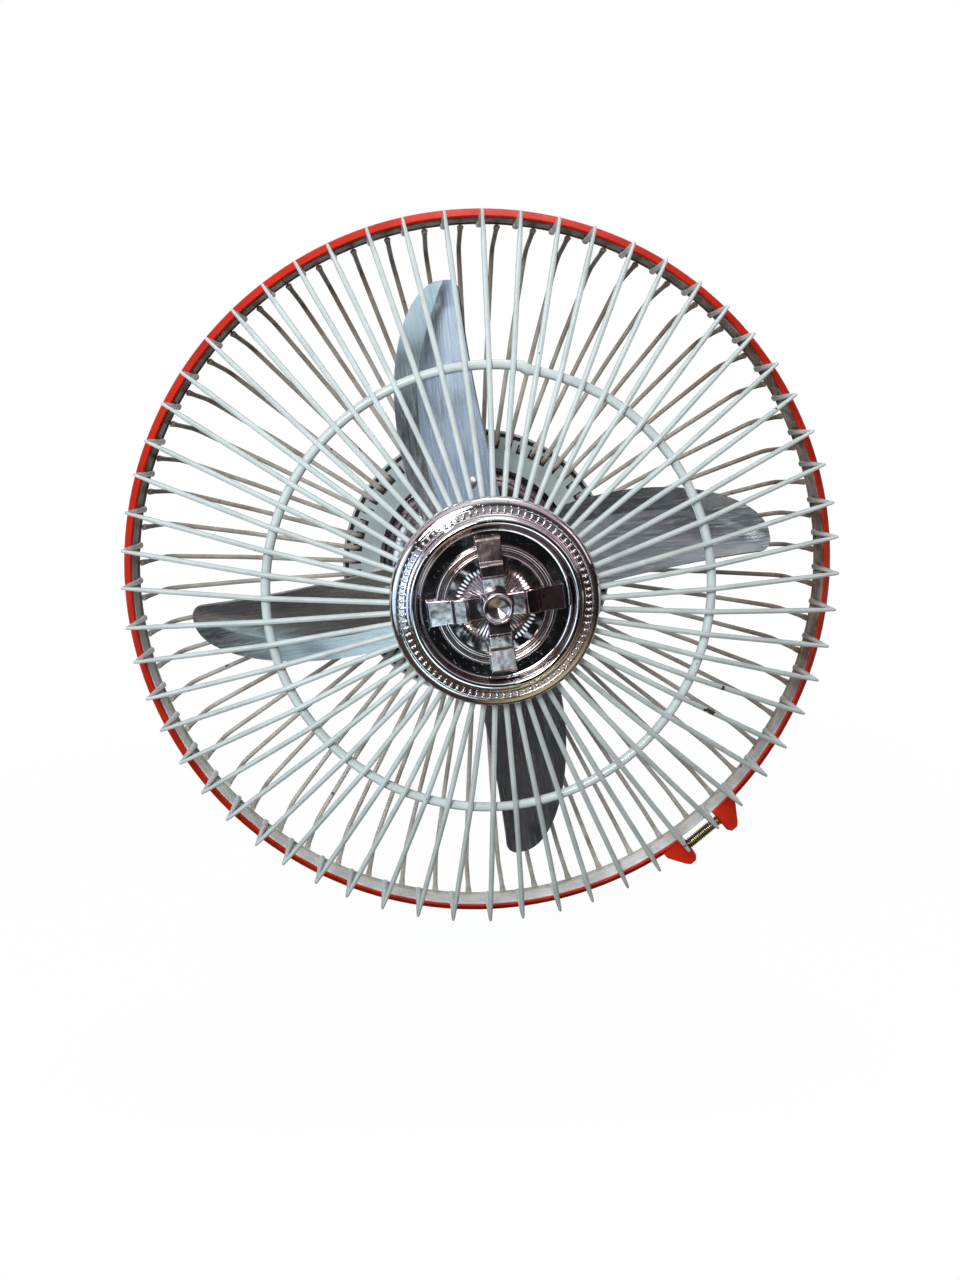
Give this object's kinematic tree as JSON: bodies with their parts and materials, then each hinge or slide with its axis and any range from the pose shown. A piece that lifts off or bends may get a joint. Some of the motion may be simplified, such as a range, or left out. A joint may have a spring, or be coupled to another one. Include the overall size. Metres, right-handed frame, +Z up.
{
  "type": "car fan",
  "caption": "Small metal cage fan: creased blades in a domed wire guard held by a clamp band, with a bright hub cap, on a tilting and swivelling yoke.",
  "frame": {"origin": "centre of the foot plate's mounting face", "axes": "+Y into the surface that the foot is screwed to, -Y the way the fan blows, +Z up, +X right as seen from the front"},
  "size_m": [0.245, 0.18, 0.245],
  "materials": {
    "front_enamel": "gloss enamel",
    "rear_enamel": "gloss enamel, aged",
    "plate_enamel": "satin enamel",
    "red_enamel": "gloss enamel",
    "bright_chrome": "polished",
    "blade_metal": "brushed",
    "plain_steel": "machined",
    "zinc_plate": "yellow zinc plate",
    "hub_steel": "plated",
    "motor_enamel": "semi-gloss enamel",
    "ferrite": "ground",
    "copper": "varnished",
    "bronze": "sintered",
    "fibre": "pressed board",
    "carbon": "matt",
    "black_rubber": "matt",
    "black_knob": "polished"
  },
  "bodies": {
    "foot": {"foot_plate": "motor_enamel", "swivel_bolt": "plain_steel", "swivel_nut": "plain_steel", "swivel_washer": "fibre"},
    "bracket": {"yoke": "motor_enamel", "tilt_washers": "plain_steel"},
    "head": {"front_guard_wires": "front_enamel", "front_mid_ring": "front_enamel", "front_hub_plate": "hub_steel", "hub_cap": "bright_chrome", "cap_medallion": "bright_chrome", "cap_screw": "plain_steel", "cap_nut": "zinc_plate", "front_rim_strip": "front_enamel", "rear_rim_ring": "rear_enamel", "clamp_band": "red_enamel", "clamp_nut": "zinc_plate", "rear_guard_wires": "rear_enamel", "rear_guard_plate": "plate_enamel", "guard_screws": "plain_steel", "motor_front_bell": "bright_chrome", "motor_can": "motor_enamel", "motor_rear_cover": "motor_enamel", "tilt_bosses": "plain_steel", "field_magnets": "ferrite", "brush_plate": "fibre", "brush_boxes": "bronze", "brushes": "carbon", "brush_springs": "plain_steel", "front_bush": "bronze", "rear_bush": "bronze", "through_bolts": "plain_steel", "lead_grommet": "black_rubber"},
    "rotor": {"blade_1": "blade_metal", "blade_2": "blade_metal", "blade_3": "blade_metal", "blade_4": "blade_metal", "blade_spider": "plain_steel", "rotor_hub": "plain_steel", "blade_rivets": "plain_steel", "hub_grub_screw": "plain_steel", "motor_shaft": "plain_steel", "armature_core": "plain_steel", "armature_windings": "copper", "commutator": "copper", "shaft_spacers": "plain_steel"},
    "left_tilt_knob": {"left_knob": "black_knob", "left_knob_stud": "plain_steel"},
    "right_tilt_knob": {"right_knob": "black_knob", "right_knob_stud": "plain_steel"},
    "rim_screw": {"clamp_screw": "zinc_plate"}
  },
  "joints": [
    {"name": "bracket_swivel", "type": "hinge", "parent": "foot", "child": "bracket", "pos_m": [0, -0.012, 0], "axis": [0, 1, 0], "range_deg": [-180, 180]},
    {"name": "head_tilt", "type": "hinge", "parent": "bracket", "child": "head", "pos_m": [0, -0.06, 0], "axis": [1, 0, 0], "range_deg": [-40, 40]},
    {"name": "rotor_spin", "type": "hinge", "parent": "head", "child": "rotor", "pos_m": [0, -0.112, 0], "axis": [0, -1, 0], "continuous": true},
    {"name": "left_knob_turn", "type": "hinge", "parent": "head", "child": "left_tilt_knob", "pos_m": [-0.04, -0.06, 0], "axis": [-1, 0, 0], "range_deg": [0, 540]},
    {"name": "right_knob_turn", "type": "hinge", "parent": "head", "child": "right_tilt_knob", "pos_m": [0.04, -0.06, 0], "axis": [1, 0, 0], "range_deg": [0, 540]},
    {"name": "clamp_screw_turn", "type": "hinge", "parent": "head", "child": "rim_screw", "pos_m": [0.08092, -0.1095, -0.09592], "axis": [0.7644, 0, 0.6448], "range_deg": [0, 1080]}
  ]
}
